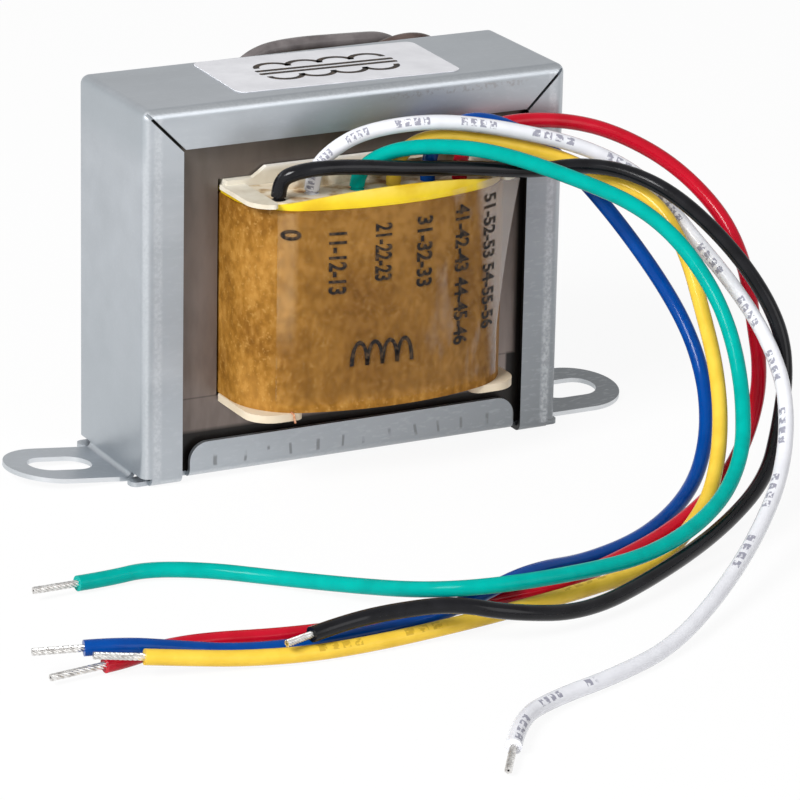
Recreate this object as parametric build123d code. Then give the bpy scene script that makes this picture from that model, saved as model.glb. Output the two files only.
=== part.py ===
from build123d import *
import os
from math import asin, degrees, pi, radians, sqrt, tan

# Speaker line matching transformer on an E and I core, in a folded steel frame.
# Millimetres, +Z up. X runs from ear to ear, Y from front to rear.
# The origin is on the mounting surface, under the middle of the core.

# Core
tongue_width = 19.0
outer_leg_width = 9.5
window_width = 9.5
window_height = 28.5
yoke_height = 9.5
stack_depth = 17.5

# Folded sheets
sheet = 0.6
bend_inside = 0.6
side_clearance = 0.65
face_clearance = 0.85

# Channel frame
frame_flange_width = 5.4
mitre_gap = 0.4
ear_width = 12.7
ear_reach = 14.4
slot_width = 5.3
slot_length = 8.6
slot_centre_reach = 7.1
right_angle = 90.0
left_ear_rise = 6.0
right_ear_rise = 0.0
left_ear_twist = 0.0
right_ear_twist = 6.5
tab_ear_gap = 0.4
tab_overhang = 1.0
tab_corner = 0.9
tab_corner_share = 0.45

# Base plate
base_flange_height = 4.6
base_flange_corner = 2.5
base_flange_gap = 1.05
base_end_clearance = 0.25
base_tab_clearance = 0.1

# Bobbin
leg_clearance = 0.2
tube_wall = 1.0
tube_corner = 1.0
flange_thickness = 1.0
window_clearance = 0.1
window_side_clearance = 0.7
face_gap = 0.3
wall_thickness = 0.8
wall_height = 2.3
wall_half_width = 12.8
wall_run_out = 3.4
lobe_drop = 0.8
lobe_rise = 0.2
lobe_side_overhang = 0.2
lobe_front_inset = 2.25
lobe_corner = 3.5
top_lobe_thickness = 0.6
top_lobe_end_radius = 0.6
bottom_lobe_end_radius = 1.2
top_notch_half_width = 15.8
bottom_notch_half_width = 12.0

# Windings and wraps, as build on the bobbin's sides and on its front and rear, which bow out
winding_front_radius = 30.0
secondary_side_build = 2.6
secondary_front_build = 3.6
barrier_build = 0.3
primary_side_build = 4.6
primary_front_build = 7.9
tape_thickness = 0.25
tape_stand = 1.8
tape_end_clearance = 0.3
paper_thickness = 0.25
paper_top_margin = 0.6
clear_tape_thickness = 0.1
clear_tape_margin = 0.9
clear_tape_left_arc = 40.0
clear_tape_right_arc = 42.0
clear_tape_flap_width = 3.6
clear_tape_flap_height = 20.0
pad_thickness = 0.3
pad_gap = 0.1

# Top label
label_width = 31.0
label_depth = 15.6
label_thickness = 0.1
label_corner = 1.3
label_shift_x = 0.6
label_shift_y = 0.5
label_turn = -2.4

# Leads
lead_diameter = 2.0
tip_diameter = 1.1
tip_length = 6.0
arc_share = 0.45

# Sizes that follow
core_width = tongue_width + 2 * (window_width + outer_leg_width)
core_height = window_height + 2 * yoke_height
bend_outside = bend_inside + sheet
frame_width = core_width + 2 * (side_clearance + sheet)
frame_depth = stack_depth + 2 * (face_clearance + sheet)
core_bottom = 2 * sheet
core_top = core_bottom + core_height
frame_height = core_top + sheet
window_bottom = core_bottom + yoke_height
window_top = window_bottom + window_height
flange_inner_x = frame_width / 2 - frame_flange_width
base_flange_x = flange_inner_x - base_flange_gap
tube_half_x = tongue_width / 2 + leg_clearance + tube_wall
tube_half_y = stack_depth / 2 + leg_clearance + tube_wall
bobbin_bottom = window_bottom + window_clearance
bobbin_top = window_top - window_clearance
wall_inner_y = stack_depth / 2 + face_gap
wall_outer_y = wall_inner_y + wall_thickness
window_flange_half_x = tongue_width / 2 + window_width - window_side_clearance
bottom_lobe_z = bobbin_bottom - lobe_drop
top_lobe_z = bobbin_top - flange_thickness - lobe_rise
winding_bottom = bobbin_bottom + flange_thickness
winding_top = top_lobe_z
pad_top = winding_top + pad_thickness

UPWARDS = (Align.CENTER, Align.CENTER, Align.MIN)


# Plans of the coil's layers, from the bobbin's tube outwards
def grown(plan, side, front):
    """The plan of a layer's outside: half width, half depth, corner radius and front radius."""
    half_x, half_y, corner, front_radius = plan
    return (half_x + side, half_y + front, corner + side, front_radius + front)


tube_plan = (tube_half_x, tube_half_y, tube_corner, winding_front_radius)
secondary_plan = grown(tube_plan, secondary_side_build, secondary_front_build)
barrier_plan = grown(secondary_plan, barrier_build, barrier_build)
primary_plan = grown(barrier_plan, primary_side_build, primary_front_build)
tape_plan = grown(primary_plan, tape_thickness, tape_thickness)
paper_plan = grown(tape_plan, paper_thickness, paper_thickness)
lobe_half_width = paper_plan[0] + lobe_side_overhang
lobe_half_depth = paper_plan[1] - lobe_front_inset

# Routes of the leads. Each front lead starts on the front pad, where it comes out of the coil.
front_routes = {
    "black": [
        (-14.6, -17, pad_top), (-14.6, -17, 40.6), (-12.8, -18.3, 41.9), (-9, -18.9, 42.2),
        (-4, -19.3, 41.8), (1, -19.6, 41.1), (10.5, -20.3, 40.3), (19, -22.2, 39.4),
        (24.5, -23.5, 40), (29.5, -27.5, 39.8), (34.5, -33, 37.4), (40, -39, 30.8),
        (43, -43.5, 23.4), (42.5, -46, 17.4), (39.5, -49.5, 11.2), (34.5, -55, 6.6),
        (24.5, -61.5, 3.8), (11.5, -69, 2.6), (-2, -75, 1.8), (-13, -76.5, 4),
        (-19.5, -74.5, 5.6), (-26, -71.5, 4.6), (-31.5, -70.5, 3.8), (-36.5, -71.5, 3.4),
    ],
    "white": [
        (-9.5, -16, pad_top), (-9.5, -16, 40.6), (-7.5, -16.5, 43.4), (-2.5, -16.5, 45.6),
        (6.5, -17.5, 46.2), (15.5, -18.5, 44.6), (26.5, -21, 41.6), (34, -24.5, 37.2),
        (37, -30, 31.4), (39.5, -37.5, 26), (40.5, -45, 21), (39, -52, 15.6),
        (33.5, -60.5, 9.6), (24.5, -69.5, 5.6), (13.5, -79, 2.8), (2.5, -87, 1),
        (-8, -92, 1), (-18, -95.5, 1.2), (-24.5, -99.5, 1.4), (-28.5, -105.5, 1),
    ],
    "green": [
        (-3.5, -16.6, pad_top), (-3.5, -16.6, 40.2), (-1, -16.9, 42.2), (3, -18.3, 43.4),
        (9.5, -20.5, 43.2), (15, -23, 42), (23, -27.5, 39.2), (29, -31.5, 36.4),
        (33, -36, 32.6), (35, -41, 27), (35, -45.5, 22), (33.5, -50.5, 15.8),
        (30, -56.5, 10.2), (22.5, -62.5, 6.4), (11, -67.5, 4.4), (-1.5, -70, 4.8),
        (-13, -70, 5), (-19, -65, 3.8), (-23.5, -56, 2), (-30, -47, 1),
        (-35.5, -42, 1), (-42.5, -39, 1.2), (-47.5, -39.5, 1), (-52, -40, 1.2),
    ],
    "yellow": [
        (1.6, -16.6, pad_top), (1.6, -16.6, 40.4), (3.4, -16, 42.5), (7, -16.6, 44),
        (14.5, -17.1, 42.7), (23, -19, 40.4), (28.5, -22.5, 37.6), (33, -28, 35.8),
        (34.5, -33.5, 30.4), (34, -39, 24), (33, -44.5, 18.4), (31, -49.5, 13),
        (27.5, -54.5, 8.2), (23, -59, 5.2), (14, -64, 1.4), (2.5, -66.5, 1),
        (-7.5, -69, 1.2), (-16.5, -71, 1.4), (-27.5, -71.5, 1), (-36.5, -71.5, 1),
        (-44.5, -70, 1.2), (-51, -69, 2), (-56, -68, 2.6),
    ],
    "blue": [
        (6.5, -16.5, pad_top), (6.5, -16.5, 40.2), (8.5, -14.5, 42.4), (12, -14.2, 44.6),
        (16, -14.6, 45.2), (21.5, -15.4, 43.6), (26, -17.5, 38.6), (30.5, -22, 31.6),
        (35, -28, 23.8), (36.5, -33, 17.8), (36, -37.5, 12.4), (33, -43, 8),
        (27.5, -49, 4.2), (18, -55, 1.8), (7, -59, 1.4), (-3, -63.5, 3.4),
        (-11, -67, 3.2), (-18, -68, 1.6), (-26, -69, 1.2), (-35, -69, 1),
        (-44, -67.5, 1), (-51.5, -66, 2.2), (-57.5, -65.5, 3.4), (-62, -64.5, 3.4),
    ],
    "red": [
        (10.5, -17.5, pad_top), (10.5, -17.5, 40.2), (12.4, -15.2, 41.6), (15.5, -12.9, 42.4),
        (20, -12.4, 43.3), (27.5, -13, 42.9), (34.5, -15, 41), (40.5, -19.5, 36.6),
        (44.5, -25.5, 31.2), (45, -31.5, 26.4), (42.5, -37.5, 21.2), (40, -44, 16),
        (35.5, -49, 10.6), (29, -53.5, 6), (19.5, -57.5, 2.8), (8.5, -61.5, 1.6),
        (-1, -64.5, 1), (-9.5, -64.8, 1), (-18, -65.5, 1), (-27.5, -66, 1),
        (-37, -65, 1), (-46, -63, 1.2), (-52, -63, 1.2), (-56.5, -64, 1), (-59.5, -65, 1),
    ],
}
rear_routes = {
    "grey": [
        (-6, 16.5, pad_top), (-6, 16.5, 41), (-5, 17, 44.5), (-1.5, 17.5, 47.2),
        (4, 17.7, 47.8), (12, 17.5, 47.6), (18.5, 18, 47.2), (21.5, 19.5, 43.5),
        (22, 21.5, 37), (21.5, 24, 28), (20.5, 27, 18), (18.5, 30, 8.5), (14, 34, 2.2),
        (9, 40, 1), (3, 45.5, 1), (-3.5, 47.5, 1), (-9.5, 43.5, 1), (-11.5, 37, 1),
        (-9.5, 31, 1), (-4, 27.5, 1), (2.5, 28, 1),
    ],
    "brown": [
        (10, 15.5, pad_top), (10, 15.5, 40.8), (11.5, 15, 44), (15, 14.5, 46.8),
        (19.5, 14.5, 47.8), (23.5, 15, 46.8), (25.5, 17, 43), (26.5, 19.5, 37),
        (27, 22.5, 28.5), (27.5, 25.5, 19), (28.5, 28.5, 9.5), (31, 32, 2.6), (35, 36.5, 1),
        (40, 40.5, 1), (43, 46, 1), (42, 52.5, 1), (36.5, 56.5, 1), (29.5, 56, 1),
        (24, 51.5, 1), (22, 45, 1), (23.5, 38.5, 1),
    ],
}


def save(node, shape):
    """Write one node of the transformer."""
    export_step(shape, f"parts/{node}.step")


# Frame
def rounded_block(width, depth, bottom, top, radius):
    """A block with its upright and top edges rounded, as the outside or inside of a folded lid."""
    block = Pos(0, 0, bottom) * Box(width, depth, top - bottom, align=UPWARDS)
    rounded = block.edges().filter_by(Axis.Z) + block.faces().sort_by(Axis.Z)[-1].edges()
    return fillet(rounded, radius)


def bend(angle):
    """Section of a bend about the origin. It starts level with the origin and turns down and round."""
    with BuildSketch() as section:
        with BuildLine():
            outer = CenterArc((0, 0), bend_outside, 180, angle)
            inner = CenterArc((0, 0), bend_inside, 180, angle)
            Line(outer @ 0, inner @ 0)
            Line(outer @ 1, inner @ 1)
        make_face()
    return section.sketch


def ear(rise, twist):
    """The right ear: the wall's foot bent outwards into a slotted plate, its rear edge up by the twist."""
    centre = Pos(frame_width / 2 + bend_inside, 0, bend_outside)
    fold = centre * extrude(Plane.XZ * bend(right_angle + rise), ear_width / 2, both=True)
    # The plate is drawn level and then turned with the end of the bend
    flat = ear_reach - bend_inside
    round_end = Pos(flat - ear_width / 2, 0) * Circle(ear_width / 2)
    plate_outline = Rectangle(flat - ear_width / 2, ear_width, align=(Align.MIN, Align.CENTER)) + round_end
    plate = Pos(0, 0, -bend_outside) * extrude(plate_outline, sheet)
    plate = centre * Rot(0, -rise, 0) * plate
    front_edge = Pos(0, -ear_width / 2, 0)
    bent = front_edge * Rot(twist, 0, 0) * front_edge.inverse() * (fold + plate)
    slot = Pos(frame_width / 2 + slot_centre_reach, 0, -sheet) * extrude(
        SlotOverall(slot_length, slot_width), ear_reach
    )
    return bent - slot


def lock_tab():
    """The front right tab: the flange's foot bent back under the base plate."""
    foot_end = frame_width / 2 - bend_outside
    bend_y = bend_outside - frame_depth / 2
    turn = Plane((flange_inner_x, bend_y, bend_outside), x_dir=(0, 1, 0), z_dir=(1, 0, 0))
    fold = extrude(turn * bend(right_angle), foot_end - flange_inner_x)
    width = frame_width / 2 + tab_overhang - flange_inner_x
    length = -bend_y - ear_width / 2 - tab_ear_gap
    plate = Pos(flange_inner_x, bend_y, 0) * Box(
        width, length, sheet, align=(Align.MIN, Align.MIN, Align.MIN)
    )
    outer_corners = plate.edges().filter_by(Axis.Z).sort_by(Axis.X)[-2:]
    return fold + fillet(outer_corners, min(tab_corner, tab_corner_share * length))


def channel_frame():
    """Folded lid with mitred flanges round both openings, ears and lock tabs."""
    shell = rounded_block(frame_width, frame_depth, bend_outside, frame_height, bend_outside)
    shell -= rounded_block(
        frame_width - 2 * sheet, frame_depth - 2 * sheet, 0, frame_height - sheet, bend_inside
    )
    opening = Box(2 * flange_inner_x, 2 * frame_depth, 2 * (frame_height - frame_flange_width))
    shell -= opening
    # The mitres part the top flange from the side flanges, and stop at the bends to the walls
    slit_length = 4 * frame_flange_width
    slit = Box(slit_length, bend_outside, mitre_gap)
    for side in (-1, 1):
        for face in (-1, 1):
            corner = Pos(side * frame_width / 2, face * frame_depth / 2, frame_height)
            shell -= corner * Rot(0, -side * 45, 0) * slit
    left_ear = mirror(ear(left_ear_rise, left_ear_twist), Plane.YZ)
    frame = shell + ear(right_ear_rise, right_ear_twist) + left_ear
    tab = lock_tab()
    rear_tab = mirror(tab, Plane.XZ)
    return frame + tab + rear_tab + mirror(tab, Plane.YZ) + mirror(rear_tab, Plane.YZ)


# Base plate
def base_plate():
    """Folded plate under the core, with round-cornered flanges at the front and rear."""
    width = 2 * base_flange_x
    top = sheet + base_flange_height
    outer = Pos(0, 0, sheet) * Box(width, frame_depth, base_flange_height, align=UPWARDS)
    outer = fillet(outer.faces().sort_by(Axis.Z)[0].edges().filter_by(Axis.X), bend_outside)
    inner = Pos(0, 0, core_bottom) * Box(width, frame_depth - 2 * sheet, frame_height, align=UPWARDS)
    inner = fillet(inner.faces().sort_by(Axis.Z)[0].edges().filter_by(Axis.X), bend_inside)
    channel = outer - inner
    corners = channel.edges().filter_by(Axis.Y).filter_by_position(Axis.Z, top - sheet / 2, top + sheet / 2)
    channel = fillet(corners, base_flange_corner)
    end_x = core_width / 2 + side_clearance - base_end_clearance
    end_y = frame_depth / 2 - bend_outside - base_tab_clearance
    return channel + Pos(0, 0, sheet) * Box(2 * end_x, 2 * end_y, sheet, align=UPWARDS)


# Core
def e_laminations():
    """Stack of E sheets, legs down."""
    back = Rectangle(core_width, core_height - yoke_height, align=(Align.CENTER, Align.MIN))
    window = Rectangle(window_width, window_height, align=(Align.CENTER, Align.MIN))
    window_x = (tongue_width + window_width) / 2
    outline = back - Pos(window_x, 0) * window - Pos(-window_x, 0) * window
    return Pos(0, 0, window_bottom) * extrude(Plane.XZ * outline, stack_depth / 2, both=True)


def i_laminations():
    """Stack of I bars that closes the core under the coil."""
    return Pos(0, 0, core_bottom) * Box(core_width, stack_depth, yoke_height, align=UPWARDS)


# Bobbin
def bobbin():
    """Moulded former: a tube on the middle leg, two flanges, lobes outside the core, lead walls."""
    bore = RectangleRounded(
        2 * (tube_half_x - tube_wall), 2 * (tube_half_y - tube_wall), tube_corner / 2
    )
    height = bobbin_top - bobbin_bottom
    flange = Rectangle(2 * window_flange_half_x, 2 * wall_outer_y)
    bottom_flange = Pos(0, 0, bobbin_bottom) * extrude(flange, flange_thickness)
    top_flange = Pos(0, 0, bobbin_top - flange_thickness) * extrude(flange, flange_thickness)
    former = Pos(0, 0, bobbin_bottom) * extrude(tube_outline(), height) + bottom_flange + top_flange
    bottom_lobes = flange_lobes(bottom_notch_half_width, bottom_lobe_end_radius)
    former += Pos(0, 0, bottom_lobe_z) * extrude(bottom_lobes, flange_thickness)
    top_lobes = flange_lobes(top_notch_half_width, top_lobe_end_radius)
    former += Pos(0, 0, top_lobe_z) * extrude(top_lobes, top_lobe_thickness)
    wall_outline = Polygon(
        (-wall_half_width - wall_run_out, 0),
        (wall_half_width + wall_run_out, 0),
        (wall_half_width, wall_height),
        (-wall_half_width, wall_height),
        align=None,
    )
    wall_z = bobbin_top - flange_thickness
    front = Plane((0, -wall_inner_y, wall_z), x_dir=(1, 0, 0), z_dir=(0, -1, 0))
    wall = extrude(front * wall_outline, wall_thickness)
    former += wall + mirror(wall, Plane.XZ)
    return former - Pos(0, 0, bobbin_bottom) * extrude(bore, height)


def tube_outline():
    """Outside of the bobbin's tube, which the first winding lies on."""
    return RectangleRounded(2 * tube_half_x, 2 * tube_half_y, tube_corner)


def flange_lobes(notch_half_width, end_radius):
    """The four parts of a flange that stand outside the core, with a notch between each pair."""
    outline = RectangleRounded(2 * lobe_half_width, 2 * lobe_half_depth, lobe_corner)
    core_gap = Rectangle(2 * lobe_half_width, 2 * wall_inner_y)
    notch = Rectangle(2 * notch_half_width, 2 * lobe_half_depth)
    lobes = outline - core_gap - notch
    notch_sides = lobes.edges().filter_by(Axis.Y).sort_by(lambda side: abs(side.center().X))[:4]
    ends = [max(side.vertices(), key=lambda corner: abs(corner.Y)) for side in notch_sides]
    return fillet(ends, end_radius)


# Windings and wraps
def arc_places(plan):
    """The centres of a plan's front arc and right corner, and the angle where they meet."""
    half_x, half_y, corner, front_radius = plan
    front_y = front_radius - half_y
    corner_x = half_x - corner
    between = front_radius - corner
    corner_y = front_y - sqrt(between**2 - corner_x**2)
    return front_y, corner_x, corner_y, degrees(asin(corner_x / between))


def coil_outline(plan):
    """Outline of a wound layer: flat sides, round corners, and a front and rear that bow out."""
    half_x, half_y, corner, front_radius = plan
    front_y, corner_x, corner_y, meet = arc_places(plan)
    with BuildSketch() as outline:
        with BuildLine():
            for face, ahead in ((1, 270), (-1, 90)):
                CenterArc((0, face * front_y), front_radius, ahead - meet, 2 * meet)
                CenterArc((face * corner_x, face * corner_y), corner, ahead + meet, 90 - meet)
                CenterArc((-face * corner_x, face * corner_y), corner, ahead - 90, 90 - meet)
                Line((face * half_x, corner_y), (face * half_x, -corner_y))
        make_face()
    return outline.sketch


def layer(inside, outside, bottom, top):
    """One layer of the coil between two outlines."""
    return Pos(0, 0, bottom) * extrude(outside - inside, top - bottom)


def outer_tape():
    """Yellow film round the winding, which arches up behind the wrap where the leads come out."""
    ring = coil_outline(tape_plan) - coil_outline(primary_plan)
    half_width = top_notch_half_width - tape_end_clearance
    with BuildSketch(Plane.XZ) as arch:
        with BuildLine():
            chord = Line((-half_width, winding_top), (half_width, winding_top))
            ThreePointArc(chord @ 0, (0, winding_top + tape_stand), chord @ 1)
        make_face()
    stand = Pos(0, 0, winding_top) * extrude(ring, tape_stand)
    stand &= extrude(arch.sketch, tape_plan[1], both=True)
    return Pos(0, 0, winding_bottom) * extrude(ring, winding_top - winding_bottom) + stand


def clear_tape():
    """Clear strip over the front of the paper and round both corners, with a loose top right end."""
    line = grown(paper_plan, clear_tape_thickness / 2, clear_tape_thickness / 2)
    half_x, half_y, corner, front_radius = line
    front_y, corner_x, corner_y, meet = arc_places(line)
    with BuildLine() as middle:
        CenterArc((-corner_x, corner_y), corner, 270 - clear_tape_left_arc, clear_tape_left_arc - meet)
        CenterArc((0, front_y), front_radius, 270 - meet, 2 * meet)
        around = CenterArc((corner_x, corner_y), corner, 270 + meet, clear_tape_right_arc - meet)
    bottom = bottom_lobe_z + flange_thickness + clear_tape_margin
    top = winding_top - clear_tape_margin
    strip = Pos(0, 0, bottom) * extrude(trace(middle.line, clear_tape_thickness), top - bottom)
    # The loose end leaves the paper on a tangent and narrows downwards
    end = around @ 1
    away = around % 1
    loose = Polygon(
        (0, top), (clear_tape_flap_width, top), (0, top - clear_tape_flap_height), align=None
    )
    side = Plane((end.X, end.Y, 0), x_dir=(away.X, away.Y, 0), z_dir=(away.Y, -away.X, 0))
    return strip + extrude(side * loose, clear_tape_thickness / 2, both=True)


def lead_pad():
    """Insulating paper on the winding in the front notch, which the leads stand on."""
    depth = primary_plan[1] - wall_outer_y - pad_gap
    notch = Pos(0, -primary_plan[1]) * Rectangle(
        2 * (top_notch_half_width - tape_end_clearance), depth, align=(Align.CENTER, Align.MIN)
    )
    return Pos(0, 0, winding_top) * extrude(coil_outline(primary_plan) & notch, pad_thickness)


# Label
def top_label():
    """Round-cornered sticker on the frame."""
    sticker = extrude(RectangleRounded(label_width, label_depth, label_corner), label_thickness)
    return Pos(label_shift_x, label_shift_y, frame_height) * Rot(0, 0, label_turn) * sticker


# Leads
def lead(name, points):
    """Round lead along straight runs and tangent arcs, with its bare end. Prints the arcs' radii."""
    route = [Vector(point) for point in points]
    runs = [b - a for a, b in zip(route, route[1:])]
    radii = []
    for before, after in zip(runs, runs[1:]):
        shorter = min(before.length, after.length)
        radii.append(arc_share * shorter / tan(radians(before.get_angle(after)) / 2))
    path = FilletPolyline(*route, radius=radii)
    section = Plane(origin=route[0], z_dir=runs[0]) * Circle(lead_diameter / 2)
    tube = sweep(section, path=path)
    expected = pi * lead_diameter**2 / 4 * path.length
    print(name, "length", round(path.length, 1), "volume share", round(tube.volume / expected, 4))
    print("  radii", [round(radius, 1) for radius in radii])
    end = Plane(origin=route[-1], z_dir=runs[-1])
    tip = extrude(end * Circle(tip_diameter / 2), tip_length)
    return tube, tip


os.makedirs("parts", exist_ok=True)
save("channel_frame", channel_frame())
save("base_plate", base_plate())
save("e_laminations", e_laminations())
save("i_laminations", i_laminations())
save("bobbin", bobbin())
secondary = coil_outline(secondary_plan)
barrier = coil_outline(barrier_plan)
primary = coil_outline(primary_plan)
tape = coil_outline(tape_plan)
paper = coil_outline(paper_plan)
save("secondary_winding", layer(tube_outline(), secondary, winding_bottom, winding_top))
save("interwinding_tape", layer(secondary, barrier, winding_bottom, winding_top))
save("primary_winding", layer(barrier, primary, winding_bottom, winding_top))
save("outer_tape", outer_tape())
save("paper_wrap", layer(tape, paper, bottom_lobe_z + flange_thickness, winding_top - paper_top_margin))
save("clear_tape", clear_tape())
save("front_lead_pad", lead_pad())
save("rear_lead_pad", mirror(lead_pad(), Plane.XZ))
save("top_label", top_label())
for colour, points in (front_routes | rear_routes).items():
    kind = "rear_lead" if colour in rear_routes else "lead"
    tube, tip = lead(colour, points)
    save(f"{kind}_{colour}", tube)
    save(f"{kind}_tip_{colour}", tip)
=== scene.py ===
import math

import bpy
from mathutils import Matrix, Vector


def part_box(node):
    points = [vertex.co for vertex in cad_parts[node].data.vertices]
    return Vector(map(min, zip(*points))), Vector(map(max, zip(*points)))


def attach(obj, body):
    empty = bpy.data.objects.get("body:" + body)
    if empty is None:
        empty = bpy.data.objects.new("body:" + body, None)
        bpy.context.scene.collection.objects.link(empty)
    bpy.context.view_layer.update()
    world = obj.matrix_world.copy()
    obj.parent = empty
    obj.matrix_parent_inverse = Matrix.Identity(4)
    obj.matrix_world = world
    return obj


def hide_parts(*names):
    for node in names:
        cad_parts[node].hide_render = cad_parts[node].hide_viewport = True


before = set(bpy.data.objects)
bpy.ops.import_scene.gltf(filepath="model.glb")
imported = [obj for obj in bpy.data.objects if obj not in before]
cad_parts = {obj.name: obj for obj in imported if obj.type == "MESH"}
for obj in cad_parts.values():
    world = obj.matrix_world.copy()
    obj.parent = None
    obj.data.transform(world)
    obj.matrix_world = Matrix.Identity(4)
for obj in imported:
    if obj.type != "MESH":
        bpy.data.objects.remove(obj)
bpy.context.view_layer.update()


# Bobbin: a moulded nylon former, ivory and a little waxy. Its tube slides on the core's middle leg,
# its flanges hold the windings, and its low walls keep the lead joints off the core.
class Layers:
    """Nodes that are built up layer by layer, for a surface or for the light around it."""

    def __init__(self, tree):
        self.nodes = tree.nodes
        self.links = tree.links
        self.place = self.nodes.new("ShaderNodeTexCoord")

    def give(self, socket, value):
        """Set a socket to a number or a linear colour, or link it to another socket."""
        if isinstance(value, tuple):
            socket.default_value = (*value, 1)
        elif isinstance(value, (int, float)):
            socket.default_value = value
        else:
            self.links.new(value, socket)

    def axis(self, name, source="Object"):
        """One axis of the place on the piece, of the way its surface faces, or of its own map."""
        split = self.nodes.new("ShaderNodeSeparateXYZ")
        self.links.new(self.place.outputs[source], split.inputs["Vector"])
        return split.outputs[name]

    def calc(self, operation, *values):
        """A sum on one value or two, or on several, one after another."""
        result = values[0]
        for value in values[1:] or (0.0,):
            node = self.nodes.new("ShaderNodeMath")
            node.operation = operation
            self.give(node.inputs[0], result)
            self.give(node.inputs[1], value)
            result = node.outputs[0]
        return result

    def fade(self, value, start, end, low=0.0, high=1.0):
        """A value that goes from low to high as another goes from start to end."""
        node = self.nodes.new("ShaderNodeMapRange")
        node.inputs["From Min"].default_value = start
        node.inputs["From Max"].default_value = end
        node.inputs["To Min"].default_value = low
        node.inputs["To Max"].default_value = high
        self.links.new(value, node.inputs["Value"])
        return node.outputs["Result"]

    def stripe(self, value, low, high, soft):
        """One between two values and nought outside them, with soft borders."""
        return self.calc(
            "MULTIPLY", self.fade(value, low - soft, low), self.fade(value, high, high + soft, 1, 0)
        )

    def mottle(self, lumps, detail, stretch=(1, 1, 1), source="Object"):
        """Noise that stays with the piece, with so many lumps to the metre."""
        turn = self.nodes.new("ShaderNodeMapping")
        turn.inputs["Scale"].default_value = stretch
        noise = self.nodes.new("ShaderNodeTexNoise")
        noise.inputs["Scale"].default_value = lumps
        noise.inputs["Detail"].default_value = detail
        self.links.new(self.place.outputs[source], turn.inputs["Vector"])
        self.links.new(turn.outputs["Vector"], noise.inputs["Vector"])
        return noise.outputs[0]

    def bands(self, direction, spacing, wander=0.0):
        """Even waves across an axis, a spacing in metres apart."""
        wave = self.nodes.new("ShaderNodeTexWave")
        wave.bands_direction = direction
        # At a scale of one the node has ten waves in pi metres
        wave.inputs["Scale"].default_value = math.pi / (10 * spacing)
        wave.inputs["Distortion"].default_value = wander
        self.links.new(self.place.outputs["Object"], wave.inputs["Vector"])
        return wave.outputs["Fac"]

    def tint(self, value, stops):
        """A colour that follows a value through the stops, each a place and a linear colour."""
        ramp = self.nodes.new("ShaderNodeValToRGB")
        band = ramp.color_ramp
        while len(band.elements) < len(stops):
            band.elements.new(0.5)
        for element, (place, colour) in zip(band.elements, stops):
            element.position = place
            element.color = (*colour, 1)
        self.links.new(value, ramp.inputs["Fac"])
        return ramp.outputs["Color"]

    def blend(self, share, under, over):
        """One colour over another by a share."""
        mix = self.nodes.new("ShaderNodeMix")
        mix.data_type = "RGBA"
        self.give(mix.inputs["Factor"], share)
        self.give(mix.inputs["A"], under)
        self.give(mix.inputs["B"], over)
        return mix.outputs["Result"]


class Finish(Layers):
    """A node material for one kind of surface."""

    def __init__(self, name, roughness, metallic=0.0, gloss=0.5):
        self.material = bpy.data.materials.new(name)
        self.material.use_nodes = True
        super().__init__(self.material.node_tree)
        self.shader = self.nodes["Principled BSDF"]
        self.shader.inputs["Roughness"].default_value = roughness
        self.shader.inputs["Metallic"].default_value = metallic
        self.shader.inputs["Specular IOR Level"].default_value = gloss

    def colour(self, value):
        """The surface's own colour."""
        self.give(self.shader.inputs["Base Color"], value)

    def polish(self, value, low, high):
        """Roughness that follows a value."""
        self.links.new(self.fade(value, 0, 1, low, high), self.shader.inputs["Roughness"])

    def relief(self, height, strength, depth):
        """Fine relief on the surface, depth in metres."""
        bump = self.nodes.new("ShaderNodeBump")
        bump.inputs["Strength"].default_value = strength
        bump.inputs["Distance"].default_value = depth
        self.links.new(height, bump.inputs["Height"])
        self.links.new(bump.outputs["Normal"], self.shader.inputs["Normal"])


def coat(piece, finish):
    """Give a piece its finish and no other."""
    piece.data.materials.clear()
    piece.data.materials.append(finish.material)


def dress(node, finish):
    """Give a CAD node its finish."""
    coat(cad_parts[node], finish)


nylon = Finish("ivory_nylon", roughness=0.45, gloss=0.3)
waxy = nylon.mottle(220, 3)
ivory = nylon.tint(waxy, [(0.3, (0.58, 0.515, 0.40)), (0.6, (0.76, 0.715, 0.61))])
# The bottom flange is darker and warmer than the top one, and the low walls on top are painted paler, as
# painted light where they stand in shade
ivory = nylon.blend(nylon.fade(nylon.axis("Z"), 0.014, 0.011, 0, 0.6), ivory, (0.60, 0.47, 0.31))
painted_wall_light = nylon.fade(nylon.axis("Z"), 0.0398, 0.0404, 0, 0.8)
nylon.colour(nylon.blend(painted_wall_light, ivory, (0.88, 0.85, 0.80)))
nylon.relief(nylon.mottle(1500, 2), 0.15, 0.0001)
dress("bobbin", nylon)


# Windings: enamelled copper wire in level turns, the secondary next to the tube and the primary
# outside it. Little of them shows, but the end of one wire pokes out under the paper at the front.
copper = Finish("enamelled_copper", roughness=0.3, metallic=1.0)
turns = copper.bands("Z", 0.00035, 0.6)
copper.colour(copper.tint(turns, [(0.1, (0.10, 0.025, 0.01)), (0.7, (0.55, 0.19, 0.07))]))
copper.relief(turns, 0.5, 0.0001)
dress("secondary_winding", copper)
dress("primary_winding", copper)

bright_copper = Finish("bright_copper", roughness=0.3, metallic=1.0)
scrape = bright_copper.mottle(3000, 3)
bright_copper.colour(bright_copper.tint(scrape, [(0.35, (0.62, 0.24, 0.11)), (0.6, (0.85, 0.45, 0.28))]))


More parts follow.
